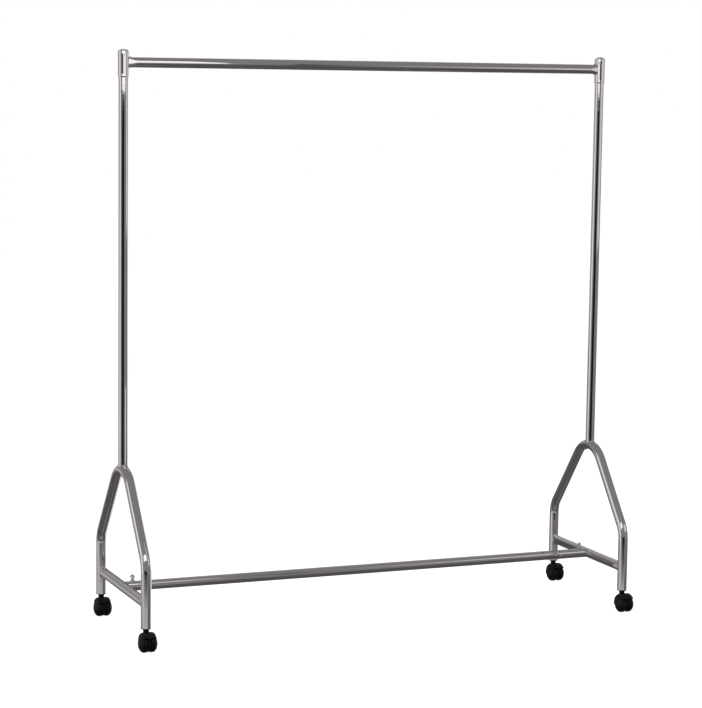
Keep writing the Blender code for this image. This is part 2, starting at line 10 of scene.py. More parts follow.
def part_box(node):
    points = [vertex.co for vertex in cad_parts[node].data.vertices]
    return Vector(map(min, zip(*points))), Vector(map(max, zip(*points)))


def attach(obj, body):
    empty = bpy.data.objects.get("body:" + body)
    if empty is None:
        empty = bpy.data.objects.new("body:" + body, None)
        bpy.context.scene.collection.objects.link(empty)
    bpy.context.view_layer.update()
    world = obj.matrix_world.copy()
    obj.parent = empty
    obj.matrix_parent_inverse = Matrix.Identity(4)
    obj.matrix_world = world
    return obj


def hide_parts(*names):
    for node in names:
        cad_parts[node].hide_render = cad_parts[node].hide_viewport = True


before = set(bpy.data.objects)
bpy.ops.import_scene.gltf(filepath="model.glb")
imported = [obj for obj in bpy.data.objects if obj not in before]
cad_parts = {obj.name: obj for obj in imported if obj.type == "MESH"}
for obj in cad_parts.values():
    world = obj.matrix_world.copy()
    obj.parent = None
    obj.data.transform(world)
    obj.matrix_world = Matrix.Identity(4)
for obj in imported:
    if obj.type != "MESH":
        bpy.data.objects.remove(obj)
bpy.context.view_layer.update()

# ---------------------------------------------------------------- sizes, in metres, as the CAD has them
WALL = 0.0015
GAP = 0.0003
FRAME_TUBE = 0.0304
UPRIGHT_TUBE = 0.0286
TOP_RAIL_TUBE = 0.0290
TIE_TUBE = 0.0286
CROSS_TUBE = 0.0286
SLEEVE_TUBE = 0.0324
KNEE_CORNER_Z = 0.247
APEX_CORNER_Z = 0.537
KNEE_RADIUS = 0.075
APEX_RADIUS = 0.094
SQUEEZE_LENGTH = 0.030
SQUEEZE_HEIGHT = 1.20
SQUEEZE_DEPTH = 0.66
SLOT_WIDTH = 0.0072
SLOT_EYE = 0.0100
SLOT_RISE = 0.0095  # from the sleeve's lower end to the slot's
SLOT_DROP = 0.0085  # from the sleeve's upper end to the eye's top
SLOT_TURN = math.radians(22)
SCREW_HEAD = 0.0152
SCREW_HEAD_THICKNESS = 0.0030
SCREW_TURN = {"left": math.radians(-50), "right": math.radians(27)}
SCREW_SHANK_RADIUS = 0.0030
SCREW_CORE_RADIUS = 0.0026
SCREW_COLLAR_RADIUS = 0.00475
SCREW_COLLAR_HEIGHT = 0.0026
THREAD_TURNS = 12
NUT_ACROSS_CORNERS = 0.0138
NUT_HEIGHT = 0.0030
NUT_BORE_RADIUS = 0.0034
NUT_BEVEL = 0.577  # the slope of the chamfer that takes off the nut's corners
WHEEL_RADIUS = 0.025
WHEEL_INNER_X = 0.0060
WHEEL_TREAD_X = 0.0125
WHEEL_OUTER_X = 0.0275
WHEEL_BORE_RADIUS = 0.0033
WHEEL_BORE_END_X = 0.0218
WHEEL_RIBS = 6
HOOD_RADIUS = 0.0318
HOOD_WALL = 0.0025
HOOD_SIDE = 0.0165
HOOD_EDGE_X = 0.0200
HOOD_FRONT_ANGLE = math.radians(140)
HOOD_REAR_ANGLE = math.radians(-14)
WEB_HUB_RADIUS = 0.0235
BOSS_RADIUS = 0.0085
BOSS_NECK = 0.0118  # from the top of the boss to its narrow part
STEM_BORE_RADIUS = 0.0043
SOCKET_FOOT_RADIUS = 0.0108
TIP = 0.00001  # the radius at which a turned shape closes on its axis

X_AXIS = Vector((1, 0, 0))
Y_AXIS = Vector((0, 1, 0))
Z_AXIS = Vector((0, 0, 1))
SIDES = {"left": -1, "right": 1}
ENDS = {"front": -1, "rear": 1}
AROUND = 48  # points round a tube
SLOTTED_AROUND = 72  # and round a tube with the slot in it
ALONG_END = 40  # rows of points from a tube's end to its middle
UPRIGHT_ROWS = (0.505, 0.52, 0.8, 1.1, 1.4)  # heights of the upright's rows below the slot


def middle(node):
    """The middle of a CAD node's box."""
    low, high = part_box(node)
    return (low + high) / 2


HALF_SPAN = middle("right_upright").x
FRAME_Y = middle("right_upright").y
TIE_Z = middle("tie_rail").z
TOP_RAIL_Z = middle("top_rail").z
LEG_FOOT_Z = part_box("left_end_frame")[0].z
HALF_LEGS = (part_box("left_end_frame")[1].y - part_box("left_end_frame")[0].y - FRAME_TUBE) / 2
TIE_TOP_Z = TIE_Z + TIE_TUBE / 2
SLEEVE_LOW_Z, SLEEVE_HIGH_Z = (corner.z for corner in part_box("left_sleeve"))
SLOT_LOW_Z = SLEEVE_LOW_Z + SLOT_RISE
SLOT_HIGH_Z = SLEEVE_HIGH_Z - SLOT_DROP
SLOT_FOOT_Z = SLOT_LOW_Z + SLOT_WIDTH / 2
SLOT_EYE_Z = SLOT_HIGH_Z - SLOT_EYE / 2
HOOD_SWEEP = HOOD_FRONT_ANGLE - HOOD_REAR_ANGLE


# ---------------------------------------------------------------- mesh building
def skin(rings, wrap=False, cap=False):
    """Quads between neighbouring rings of equal length. Wrap joins the last ring to the first one."""
    count = len(rings[0])
    points = [point for ring in rings for point in ring]
    faces = []
    for index in range(len(rings) if wrap else len(rings) - 1):
        near = index * count
        far = (index + 1) % len(rings) * count
        for step in range(count):
            ahead = (step + 1) % count
            faces.append((near + step, near + ahead, far + ahead, far + step))
    if cap:
        faces.append(tuple(reversed(range(count))))
        faces.append(tuple(range(len(points) - count, len(points))))
    return points, faces


def joined(*shells):
    """Several shells as one list of points and faces."""
    points = []
    faces = []
    for shell_points, shell_faces in shells:
        start = len(points)
        points.extend(shell_points)
        faces.extend(tuple(start + index for index in face) for face in shell_faces)
    return points, faces


def piece(name, shell, finish, body, stands_for=(), sharp=38):
    """A mesh that rides on a CAD body, with its material and the node it stands for."""
    points, faces = shell
    mesh = bpy.data.meshes.new(name)
    mesh.from_pydata([tuple(point) for point in points], [], faces)
    mesh.update()
    obj = bpy.data.objects.new(name, mesh)
    bpy.context.scene.collection.objects.link(obj)
    weld_points(mesh)
    mesh.shade_smooth()
    mesh.set_sharp_from_angle(angle=math.radians(sharp))
    mesh.materials.append(finish)
    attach(obj, body)
    if stands_for:
        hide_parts(*stands_for)
    return obj


def weld_points(mesh):
    """Joins points that lie together, and turns every face outwards."""
    work = bmesh.new()
    work.from_mesh(mesh)
    bmesh.ops.remove_doubles(work, verts=work.verts, dist=0.000002)
    bmesh.ops.recalc_face_normals(work, faces=work.faces)
    work.to_mesh(mesh)
    work.free()


def signed_power(value, power):
    return math.copysign(abs(value) ** power, value)


def loop(centre, across, up, half_width, half_height, count=AROUND, power=1.0):
    """One ring of a tube. A power under 1 flattens its four faces."""
    ring = []
    for step in range(count):
        angle = 2 * math.pi * (step + 0.5) / count
        ring.append(
            centre
            + across * half_width * signed_power(math.cos(angle), power)
            + up * half_height * signed_power(math.sin(angle), power)
        )
    return ring


def arc(centre, radius, start, end, steps):
    """2-D points on an arc, angles in degrees."""
    points = []
    for step in range(steps + 1):
        angle = math.radians(start + (end - start) * step / steps)
        points.append((centre[0] + radius * math.cos(angle), centre[1] + radius * math.sin(angle)))
    return points


def lathe(profile, origin, along=Z_AXIS, up=X_AXIS, count=AROUND, closed=True):
    """A solid of revolution. The profile's (radius, height) points run round its section."""
    side = along.cross(up)
    rings = []
    for radius, height in profile:
        rings.append(loop(origin + along * height, up, side, radius, radius, count))
    return skin(rings, wrap=closed)


def smooth_step(share):
    share = min(max(share, 0.0), 1.0)
    return share * share * (3 - 2 * share)


def tube_between(origin, along, across, up, length, radius, cut, squeeze=False):
    """A walled tube whose two ends are cut back by a function, and squeezed in depth if asked."""
    half = length / 2
    edge = SQUEEZE_LENGTH * 1.4
    places = set()
    for row in range(ALONG_END + 1):
        place = round(half - edge * (1 - math.cos(math.pi / 2 * row / ALONG_END)), 7)
        places |= {place, -place}
    shells = []
    for inset in (0.0, WALL):
        rings = []
        for place in sorted(places):
            left_over = (half - abs(place)) / SQUEEZE_LENGTH
            share = smooth_step(1 - left_over) if squeeze else 0.0
            high = radius * (1 + (SQUEEZE_HEIGHT - 1) * share) - inset
            ring = []
            for offset in loop(Vector((0, 0, 0)), across, up, 1.0, 1.0, power=1 - 0.22 * share):
                rise = offset.dot(up)
                # The pressed flats start as a V: further from the end at mid height than near the edges.
                flat = smooth_step(1 - left_over / (1.35 - 0.70 * abs(rise))) if squeeze else 0.0
                deep = radius * (1 + (SQUEEZE_DEPTH - 1) * flat) - inset
                point = origin + along * place + across * offset.dot(across) * deep + up * rise * high
                ring.append(cut(point, place, half))
            rings.append(ring)
        shells.append(rings)
    return skin(shells[0] + list(reversed(shells[1])), wrap=True)


def cope_cut(origin, along, across, radius):
    """Moves the last rings of a tube back onto the surface of the round tube that it meets at each end."""

    def cut(point, place, half):
        offset = (point - origin).dot(across)
        reach = half - math.sqrt(max(radius * radius - offset * offset, 0.0)) - GAP
        if abs(place) > reach:
            point = point - along * (abs(place) - reach) * math.copysign(1, place)
        return point

    return cut


def bead(points, outward, radius, seed):
    """A weld bead along a closed loop of points, with the low ripples that a torch leaves."""
    rings = []
    count = len(points)
    for index, point in enumerate(points):
        tangent = (points[(index + 1) % count] - points[index - 1]).normalized()
        out = (outward[index] - tangent * outward[index].dot(tangent)).normalized()
        side = tangent.cross(out)
        wander = noise.noise(point * 260 + Vector((seed, 0, 0)))
        ripple = math.sin(index * math.tau * 3 / 8)
        size = radius * (1 + 0.10 * ripple + 0.28 * wander)
        centre = point + out * radius * 0.07
        rings.append(loop(centre, out, side, size, size * 1.1, 10))
    return skin(rings, wrap=True)


def rounded_path(corners, radii, steps):
    """A path through 2-D corners, with an arc at each inner one. Each point carries how bent the path is."""
    points = [(Vector(corners[0]), 0.0)]
    for index, (radius, count) in enumerate(zip(radii, steps), start=1):
        corner = Vector(corners[index])
        back = (Vector(corners[index - 1]) - corner).normalized()
        ahead = (Vector(corners[index + 1]) - corner).normalized()
        half = back.angle(ahead) / 2
        centre = corner + (back + ahead).normalized() * radius / math.sin(half)
        start = corner + back * radius / math.tan(half) - centre
        end = corner + ahead * radius / math.tan(half) - centre
        sweep = math.pi - 2 * half
        for step in range(count + 1):
            share = step / count
            weights = (math.sin((1 - share) * sweep), math.sin(share * sweep))
            place = centre + (start * weights[0] + end * weights[1]) / math.sin(sweep)
            points.append((place, math.sin(math.pi * share)))
    points.append((Vector(corners[-1]), 0.0))
    return points


# ---------------------------------------------------------------- materials
class Nodes:
    """A short way to write one material's nodes."""

    def __init__(self, name):
        self.material = bpy.data.materials.new(name)
        self.material.use_nodes = True
        self.tree = self.material.node_tree
        self.shader = self.tree.nodes["Principled BSDF"]
        self.coords = self.tree.nodes.new("ShaderNodeTexCoord").outputs["Object"]

    def link(self, output, target):
        self.tree.links.new(output, target)

    def noise(self, scale, detail=3.0, roughness=0.5, stretch=None, distortion=0.0):
        vector = self.coords
        if stretch:
            mapping = self.tree.nodes.new("ShaderNodeMapping")
            mapping.inputs["Scale"].default_value = stretch
            self.link(vector, mapping.inputs["Vector"])
            vector = mapping.outputs["Vector"]
        node = self.tree.nodes.new("ShaderNodeTexNoise")
        node.inputs["Scale"].default_value = scale
        node.inputs["Detail"].default_value = detail
        node.inputs["Roughness"].default_value = roughness
        node.inputs["Distortion"].default_value = distortion
        self.link(vector, node.inputs["Vector"])
        return node.outputs["Fac"]

    def remap(self, value, low, high, to_low, to_high):
        node = self.tree.nodes.new("ShaderNodeMapRange")
        node.inputs["From Min"].default_value = low
        node.inputs["From Max"].default_value = high
        node.inputs["To Min"].default_value = to_low
        node.inputs["To Max"].default_value = to_high
        self.link(value, node.inputs["Value"])
        return node.outputs["Result"]

    def math(self, operation, first, second):
        node = self.tree.nodes.new("ShaderNodeMath")
        node.operation = operation
        for value, socket in ((first, node.inputs[0]), (second, node.inputs[1])):
            if isinstance(value, float):
                socket.default_value = value
            else:
                self.link(value, socket)
        return node.outputs["Value"]

    def blend(self, share, first, second):
        node = self.tree.nodes.new("ShaderNodeMix")
        node.data_type = "RGBA"
        self.link(share, node.inputs["Factor"])
        sockets = [socket for socket in node.inputs if socket.type == "RGBA"]
        for value, socket in zip((first, second), sockets):
            if isinstance(value, tuple):
                socket.default_value = (*value, 1.0)
            else:
                self.link(value, socket)
        return next(socket for socket in node.outputs if socket.type == "RGBA")

    def bump(self, height, strength, distance, under=None):
        node = self.tree.nodes.new("ShaderNodeBump")
        node.inputs["Strength"].default_value = strength
        node.inputs["Distance"].default_value = distance
        self.link(height, node.inputs["Height"])
        if under is not None:
            self.link(under, node.inputs["Normal"])
        return node.outputs["Normal"]


def chrome(name, tint, roughness, worn, grain):
    """Plated tube: cool bright metal with faint drawing lines along it, wipe marks and small dull spots."""
    m = Nodes(name)
    m.shader.inputs["Metallic"].default_value = 1.0
    clouds = m.remap(m.noise(7.0, 4.0), 0.35, 0.68, 0.0, 1.0)
    dull = m.remap(m.noise(210.0, 3.0, 0.6), 0.64, 0.78, 0.0, 1.0)
    bright = tuple(tint)
    cool = tuple(value * shade for value, shade in zip(tint, (0.93, 0.915, 0.95)))
    spots = tuple(value * shade for value, shade in zip(tint, (0.70, 0.66, 0.64)))
    colour = m.blend(clouds, bright, cool)
    colour = m.blend(m.math("MULTIPLY", dull, worn), colour, spots)
    m.link(colour, m.shader.inputs["Base Color"])
    wipes = m.remap(m.noise(26.0, 5.0, 0.62, distortion=0.6), 0.42, 0.70, 0.0, 0.040)
    fine = m.remap(m.noise(420.0, 2.0), 0.3, 0.7, 0.0, 0.012)
    rough = m.math("ADD", m.math("ADD", wipes, fine), roughness)
    m.link(m.math("ADD", rough, m.math("MULTIPLY", dull, 0.22)), m.shader.inputs["Roughness"])
    drawn = m.noise(60.0, 3.0, 0.55, stretch=grain)
    waves = m.noise(38.0, 2.0)
    normal = m.bump(waves, 0.05, 0.0004)
    normal = m.bump(drawn, 0.03, 0.0001, normal)
    m.link(normal, m.shader.inputs["Normal"])
    return m.material


def plated_steel(name, tint, roughness, stained=0.62):
    """Bright zinc on small turned parts: fine machining lines, stained a little in random patches."""
    m = Nodes(name)
    m.shader.inputs["Metallic"].default_value = 1.0
    stain = m.remap(m.noise(160.0, 4.0), 0.4, 0.72, 0.0, 1.0)
    dark = tuple(value * stained for value in tint)
    m.link(m.blend(stain, tuple(tint), dark), m.shader.inputs["Base Color"])
    m.link(m.remap(m.noise(700.0, 3.0), 0.3, 0.75, roughness, roughness + 0.16), m.shader.inputs["Roughness"])
    lines = m.noise(300.0, 2.0, stretch=(1.0, 1.0, 7.0))
    m.link(m.bump(lines, 0.16, 0.0001), m.shader.inputs["Normal"])
    return m.material


def moulded(name, tint, roughness, worn, grain):
    """Black nylon: a fine spark-eroded grain, paler scuffs, and a grey bloom of dust."""
    m = Nodes(name)
    m.shader.inputs["Specular IOR Level"].default_value = 0.30
    scuffs = m.remap(m.noise(95.0, 6.0, 0.66, distortion=1.4), 0.58, 0.76, 0.0, worn)
    dust = m.remap(m.noise(24.0, 4.0), 0.42, 0.75, 0.0, 0.5)
    dusty = tuple(value * 1.8 + 0.0012 for value in tint)
    pale = tuple(value * 3.0 + 0.0045 for value in tint)
    colour = m.blend(dust, tuple(tint), dusty)
    colour = m.blend(scuffs, colour, pale)
    m.link(colour, m.shader.inputs["Base Color"])
    rough = m.remap(m.noise(340.0, 3.0), 0.3, 0.7, roughness, roughness + 0.12)
    m.link(m.math("ADD", rough, m.math("MULTIPLY", scuffs, 0.18)), m.shader.inputs["Roughness"])
    normal = m.bump(m.noise(grain, 2.0), 0.22, 0.0002)
    normal = m.bump(m.noise(95.0, 6.0, 0.66, distortion=1.4), 0.10, 0.0002, normal)
    m.link(normal, m.shader.inputs["Normal"])
    return m.material


ALONG_X = (0.05, 1.0, 1.0)
ALONG_Y = (1.0, 0.05, 1.0)
ALONG_Z = (1.0, 1.0, 0.05)
CHROME_TINT = (0.775, 0.728, 0.752)
RAIL_CHROME = chrome("rail_chrome", CHROME_TINT, 0.045, 0.30, ALONG_X)
CROSS_CHROME = chrome("cross_tube_chrome", CHROME_TINT, 0.05, 0.45, ALONG_Y)
UPRIGHT_CHROME = chrome("upright_chrome", CHROME_TINT, 0.045, 0.30, ALONG_Z)
FRAME_CHROME = chrome("end_frame_chrome", CHROME_TINT, 0.055, 0.55, ALONG_Z)
FITTING_CHROME = chrome("fitting_chrome", (0.79, 0.745, 0.768), 0.05, 0.40, ALONG_Z)
WELD_CHROME = chrome("weld_chrome", (0.80, 0.765, 0.785), 0.14, 0.80, (1.0, 1.0, 1.0))
SCREW_STEEL = plated_steel("screw_steel", (0.93, 0.92, 0.92), 0.36, 0.84)
PIN_STEEL = plated_steel("pin_steel", (0.55, 0.55, 0.54), 0.26)
SPIGOT_STEEL = plated_steel("spigot_steel", (0.62, 0.62, 0.60), 0.28)
HOOD_NYLON = moulded("hood_nylon", (0.0030, 0.0028, 0.0031), 0.36, 0.30, 1500.0)
WHEEL_NYLON = moulded("wheel_nylon", (0.0026, 0.0025, 0.0026), 0.38, 0.45, 1100.0)
SOCKET_NYLON = moulded("socket_nylon", (0.0046, 0.0044, 0.0046), 0.46, 0.30, 1800.0)


# ---------------------------------------------------------------- end frames and their tubes
def make_end_frame(side, sign):
    """One tube bent into an arch. A bend flattens it a little, and its feet have softened lips."""
    corners = [
        (-HALF_LEGS, LEG_FOOT_Z),
        (-HALF_LEGS, KNEE_CORNER_Z),
        (0, APEX_CORNER_Z),
        (HALF_LEGS, KNEE_CORNER_Z),
        (HALF_LEGS, LEG_FOOT_Z),
    ]
    path = rounded_path(corners, (KNEE_RADIUS, APEX_RADIUS, KNEE_RADIUS), (18, 36, 18))
    lip = 0.0004
    path.insert(1, (path[0][0] + Vector((0, lip)), 0.0))
    path.insert(-1, (path[-1][0] + Vector((0, lip)), 0.0))
    centre_x = sign * HALF_SPAN
    shells = []
    for inset in (0.0, WALL):
        rings = []
        for index, (place, bent) in enumerate(path):
            near = path[max(index - 1, 0)][0]
            far = path[min(index + 1, len(path) - 1)][0]
            tangent = (far - near).normalized()
            across = Vector((0, -tangent.y, tangent.x))
            at_lip = index in (0, len(path) - 1)
            soft = lip * 0.8 if at_lip else 0.0
            radius = FRAME_TUBE / 2 - inset + (soft if inset else -soft)
            centre = Vector((centre_x, FRAME_Y + place.x, place.y))
            flat = 1 - 0.030 * bent
            rings.append(loop(centre, X_AXIS, across, radius, radius * flat))
        shells.append(rings)
    shell = skin(shells[0] + list(reversed(shells[1])), wrap=True)
    piece(f"{side}_end_frame_tube", shell, FRAME_CHROME, "stand", [f"{side}_end_frame"])


def arch_height(x, y):
    """The height of the arch's upper surface over a point near its middle, measured from its centre plane."""
    run = HALF_LEGS
    rise = APEX_CORNER_Z - KNEE_CORNER_Z
    lean = math.atan2(run, rise)
    centre_z = APEX_CORNER_Z - APEX_RADIUS / math.sin(lean)
    radius = FRAME_TUBE / 2
    reach = APEX_RADIUS + math.sqrt(max(radius * radius - x * x, 0.0))
    return centre_z + math.sqrt(reach * reach - y * y)


def make_upright(side, sign):
    """The upright, shaped at its foot to sit on the arch, with the weld that holds the spigot inside it."""
    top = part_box(f"{side}_upright")[1].z
    centre = Vector((sign * HALF_SPAN, FRAME_Y, 0))
    outer = UPRIGHT_TUBE / 2
    inner = outer - WALL
    soft = 0.0003
    feet = []
    for radius in (inner, outer):
        foot = []
        for point in slot_strip(centre, radius, 0.0):
            offset = point - centre
            foot.append(point + Z_AXIS * (arch_height(offset.x, offset.y) + GAP))
        feet.append(foot)
    lip = [slot_strip(centre, outer - soft, top), slot_strip(centre, inner + soft, top)]
    shell = slotted_tube(centre, outer, inner, UPRIGHT_ROWS, [top - soft], feet, lip)
    piece(f"{side}_upright_tube", shell, UPRIGHT_CHROME, "stand", [f"{side}_upright"])

    points = []
    outward = []
    for point in loop(centre, X_AXIS, Y_AXIS, outer + 0.0002, outer + 0.0002, count=96):
        offset = point - centre
        points.append(point + Z_AXIS * (arch_height(offset.x, offset.y) + 0.0004))
        outward.append(offset.normalized() + Z_AXIS * 0.4)
    shell = bead(points, outward, 0.0013, seed=sign)
    piece(f"{side}_upright_weld", shell, WELD_CHROME, "stand")


def squeezed_loop(centre, along, across, up, radius, post_radius, sign):
    """The closed line where a squeezed tube end meets a round post, and the way out from the tube there."""
    points = []
    outward = []
    ring = loop(Vector((0, 0, 0)), across, up, radius * SQUEEZE_DEPTH, radius * SQUEEZE_HEIGHT, 80, 0.78)
    for offset in ring:
        drift = offset.dot(across)
        back = math.sqrt(max(post_radius * post_radius - drift * drift, 0.0))
        points.append(centre - along * sign * back + offset)
        outward.append(offset.normalized() - along * sign * 0.5)
    return points, outward


def make_cross_tube(side, sign):
    """The tube between the two legs, with its squeezed ends welded to them."""
    centre = Vector((sign * HALF_SPAN, FRAME_Y, TIE_Z))
    cut = cope_cut(centre, Y_AXIS, X_AXIS, FRAME_TUBE / 2)
    shell = tube_between(centre, Y_AXIS, X_AXIS, Z_AXIS, 2 * HALF_LEGS, CROSS_TUBE / 2, cut, squeeze=True)
    piece(f"{side}_cross_tube_skin", shell, CROSS_CHROME, "stand", [f"{side}_cross_tube"])
    for end, way in ENDS.items():
        leg = centre + Y_AXIS * way * HALF_LEGS
        points, outward = squeezed_loop(
            leg, Y_AXIS, X_AXIS, Z_AXIS, CROSS_TUBE / 2, FRAME_TUBE / 2 + GAP, way
        )
        shell = bead(points, outward, 0.0012, seed=way + sign * 3)
        piece(f"{end}_{side}_cross_weld", shell, WELD_CHROME, "stand")


def make_tie_rail():
    """The low tube between the two end frames."""
    centre = Vector((0, FRAME_Y, TIE_Z))
    cut = cope_cut(centre, X_AXIS, Z_AXIS, CROSS_TUBE / 2)
    shell = tube_between(centre, X_AXIS, Y_AXIS, Z_AXIS, 2 * HALF_SPAN, TIE_TUBE / 2, cut)
    piece("tie_rail_tube", shell, RAIL_CHROME, "stand", ["tie_rail"])


def make_weld_nut(side, axis):
    """The hexagonal nut, its foot shaped to the tie rail and its top corners taken off."""
    top_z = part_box(f"{side}_screw_nut")[1].z
    flat = NUT_ACROSS_CORNERS / 2 * math.cos(math.pi / 6)
    count = 72
    bottom = []
    chamfer = []
    top = []
    for step in range(count):
        angle = math.tau * step / count
        within = (angle + math.pi / 6) % (math.pi / 3) - math.pi / 6
        radius = flat / math.cos(within)
        way = Vector((math.cos(angle), math.sin(angle), 0))
        place = axis + way * radius
        depth = place.y - FRAME_Y
        seat = TIE_Z + math.sqrt(max((TIE_TUBE / 2 + GAP) ** 2 - depth * depth, 0.0))
        drop = (radius - flat) * NUT_BEVEL
        bottom.append(place + Z_AXIS * seat)
        chamfer.append(place + Z_AXIS * (top_z - 0.0002 - drop))
        top.append(axis + way * (flat - 0.0004) + Z_AXIS * top_z)
    rings = [bottom, chamfer, top]
    for z in (top_z, TIE_TOP_Z + GAP):
        rings.append(loop(axis + Z_AXIS * z, X_AXIS, Y_AXIS, NUT_BORE_RADIUS, NUT_BORE_RADIUS, count))
    shell = skin(rings, wrap=True)
    piece(f"{side}_weld_nut", shell, SCREW_STEEL, "stand", [f"{side}_screw_nut"], sharp=25)


def screw_stem(axis, low_z, head_z):
    """The threaded stem, the collar that stops on the nut, and the neck up into the head."""
    collar_low = TIE_TOP_Z + NUT_HEIGHT + GAP
    collar_high = collar_low + SCREW_COLLAR_HEIGHT
    thread_low = low_z + 0.0008
    thread_high = collar_low - 0.0012
    profile = [(TIP, low_z), (SCREW_CORE_RADIUS - 0.0006, low_z)]
    for step in range(THREAD_TURNS * 2 + 1):
        height = thread_low + (thread_high - thread_low) * step / (THREAD_TURNS * 2)
        profile.append((SCREW_SHANK_RADIUS if step % 2 else SCREW_CORE_RADIUS, height))
    edge = 0.0005
    rim = SCREW_COLLAR_RADIUS - edge
    profile += [(SCREW_CORE_RADIUS, collar_low), (rim, collar_low)]
    profile += arc((rim, collar_low + edge), edge, -90, 0, 4)
    profile += arc((rim, collar_high - edge), edge, 0, 90, 4)
    neck = SCREW_SHANK_RADIUS
    profile += [(neck + 0.0008, collar_high + 0.0003), (neck, collar_high + 0.0012)]
    profile += [(neck - 0.0004, head_z), (TIP, head_z)]
    return lathe(profile, axis, Z_AXIS, X_AXIS, 24, closed=False)


def screw_head(centre, turn):
    """A flat round head on edge, a little dished on both faces."""
    facing = Vector((math.sin(turn), -math.cos(turn), 0))
    half = SCREW_HEAD_THICKNESS / 2
    radius = SCREW_HEAD / 2
    rim = 0.0009
    dish = half - 0.0007
    face = [(TIP, dish), (radius - 0.0036, dish), (radius - 0.0026, half - 0.0003), (radius - 0.0018, half)]
    face += arc((radius - rim, half - rim), rim, 90, 0, 6)
    back = [(r, -h) for r, h in reversed(face)]
    return lathe(face + back, centre, facing, Z_AXIS, 64, closed=False)


def make_screw(side):
    """A thumb screw and its weld nut."""
    axis = Vector((middle(f"{side}_screw_nut").x, FRAME_Y, 0))
    make_weld_nut(side, axis)
    low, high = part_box(f"{side}_thumb_screw")
    head_z = high.z - SCREW_HEAD / 2
    stem = screw_stem(axis, low.z, head_z)
    head = screw_head(axis + Z_AXIS * head_z, SCREW_TURN[side])
    piece(
        f"{side}_thumb_screw_body",
        joined(stem, head),
        SCREW_STEEL,
        f"{side}_screw",
        [f"{side}_thumb_screw"],
        sharp=30,
    )


# ---------------------------------------------------------------- hanging rail
def make_top_rail():
    """The rail for the hangers, with its squeezed ends welded to the sleeves."""
    centre = Vector((0, FRAME_Y, TOP_RAIL_Z))
    cut = cope_cut(centre, X_AXIS, Y_AXIS, SLEEVE_TUBE / 2)
    shell = tube_between(centre, X_AXIS, Y_AXIS, Z_AXIS, 2 * HALF_SPAN, TOP_RAIL_TUBE / 2, cut, squeeze=True)
    piece("hanging_rail_tube", shell, RAIL_CHROME, "hanging_rail", ["top_rail"])
    for side, sign in SIDES.items():
        post = centre + X_AXIS * sign * HALF_SPAN
        points, outward = squeezed_loop(
            post, X_AXIS, Y_AXIS, Z_AXIS, TOP_RAIL_TUBE / 2, SLEEVE_TUBE / 2 + GAP, sign
        )
        shell = bead(points, outward, 0.0011, seed=sign * 7)
        piece(f"{side}_rail_weld", shell, WELD_CHROME, "hanging_rail")


def slot_half_width(height):
    """Half the width of the slot at a height: round at its foot, with a round eye at its top."""
    if height <= SLOT_LOW_Z or height >= SLOT_HIGH_Z:
        return 0.0
    widths = [0.0]
    if height < SLOT_FOOT_Z:
        widths.append(math.sqrt((SLOT_WIDTH / 2) ** 2 - (SLOT_FOOT_Z - height) ** 2))
    elif height < SLOT_EYE_Z:
        widths.append(SLOT_WIDTH / 2)
    if abs(height - SLOT_EYE_Z) < SLOT_EYE / 2:
        widths.append(math.sqrt((SLOT_EYE / 2) ** 2 - (height - SLOT_EYE_Z) ** 2))
    return max(widths)


def slot_heights():
    """Heights for rows of points along the slot: round its foot, up its sides, then round its eye."""
    half = SLOT_WIDTH / 2
    eye = SLOT_EYE / 2
    join = SLOT_EYE_Z - math.sqrt(eye ** 2 - half ** 2)
    heights = [SLOT_FOOT_Z - half * math.cos(math.radians(angle)) for angle in range(0, 91, 9)]
    start = heights[-1]
    rows = 8
    heights += [start + (join - start) * row / rows for row in range(1, rows + 1)]
    sweep = math.acos((join - SLOT_EYE_Z) / eye)
    rows = 16
    heights += [SLOT_EYE_Z + eye * math.cos(sweep * (1 - row / rows)) for row in range(1, rows + 1)]
    return heights


def slot_strip(centre, radius, height):
    """Points round a tube at one height, from one edge of the slot to the other."""
    facing = math.atan2(-math.cos(SLOT_TURN), -math.sin(SLOT_TURN))
    start = math.asin(min(slot_half_width(height) / radius, 1.0))
    points = []
    for step in range(SLOTTED_AROUND + 1):
        angle = facing + start + (math.tau - 2 * start) * step / SLOTTED_AROUND
        points.append(centre + Vector((radius * math.cos(angle), radius * math.sin(angle), height)))
    return points


def slotted_tube(centre, outer, inner, below, above, low_rows, high_rows):
    """A walled tube with the slot through one side. The low and high rows go round its two ends."""
    slot = slot_heights()
    levels = [*below, slot[0] - 0.0005, *slot, slot[-1] + 0.0005, *above]
    rows = [slot_strip(centre, outer, height) for height in levels]
    rows += high_rows
    rows += [slot_strip(centre, inner, height) for height in reversed(levels)]
    rows += low_rows
    points = [point for row in rows for point in row]
    width = len(rows[0])
    faces = []
    for index in range(len(rows)):
        near = index * width
        far = (index + 1) % len(rows) * width
        for step in range(width - 1):
            faces.append((near + step, near + step + 1, far + step + 1, far + step))
    first = len(below) + 1
    last_inner = 2 * len(levels) + len(high_rows) - 1
    for index in range(first, first + len(slot) - 1):
        for column in (0, width - 1):
            a = index * width + column
            b = (index + 1) * width + column
            c = (last_inner - index - 1) * width + column
            d = (last_inner - index) * width + column
            faces.append((a, b, c, d) if column else (d, c, b, a))
    return points, faces


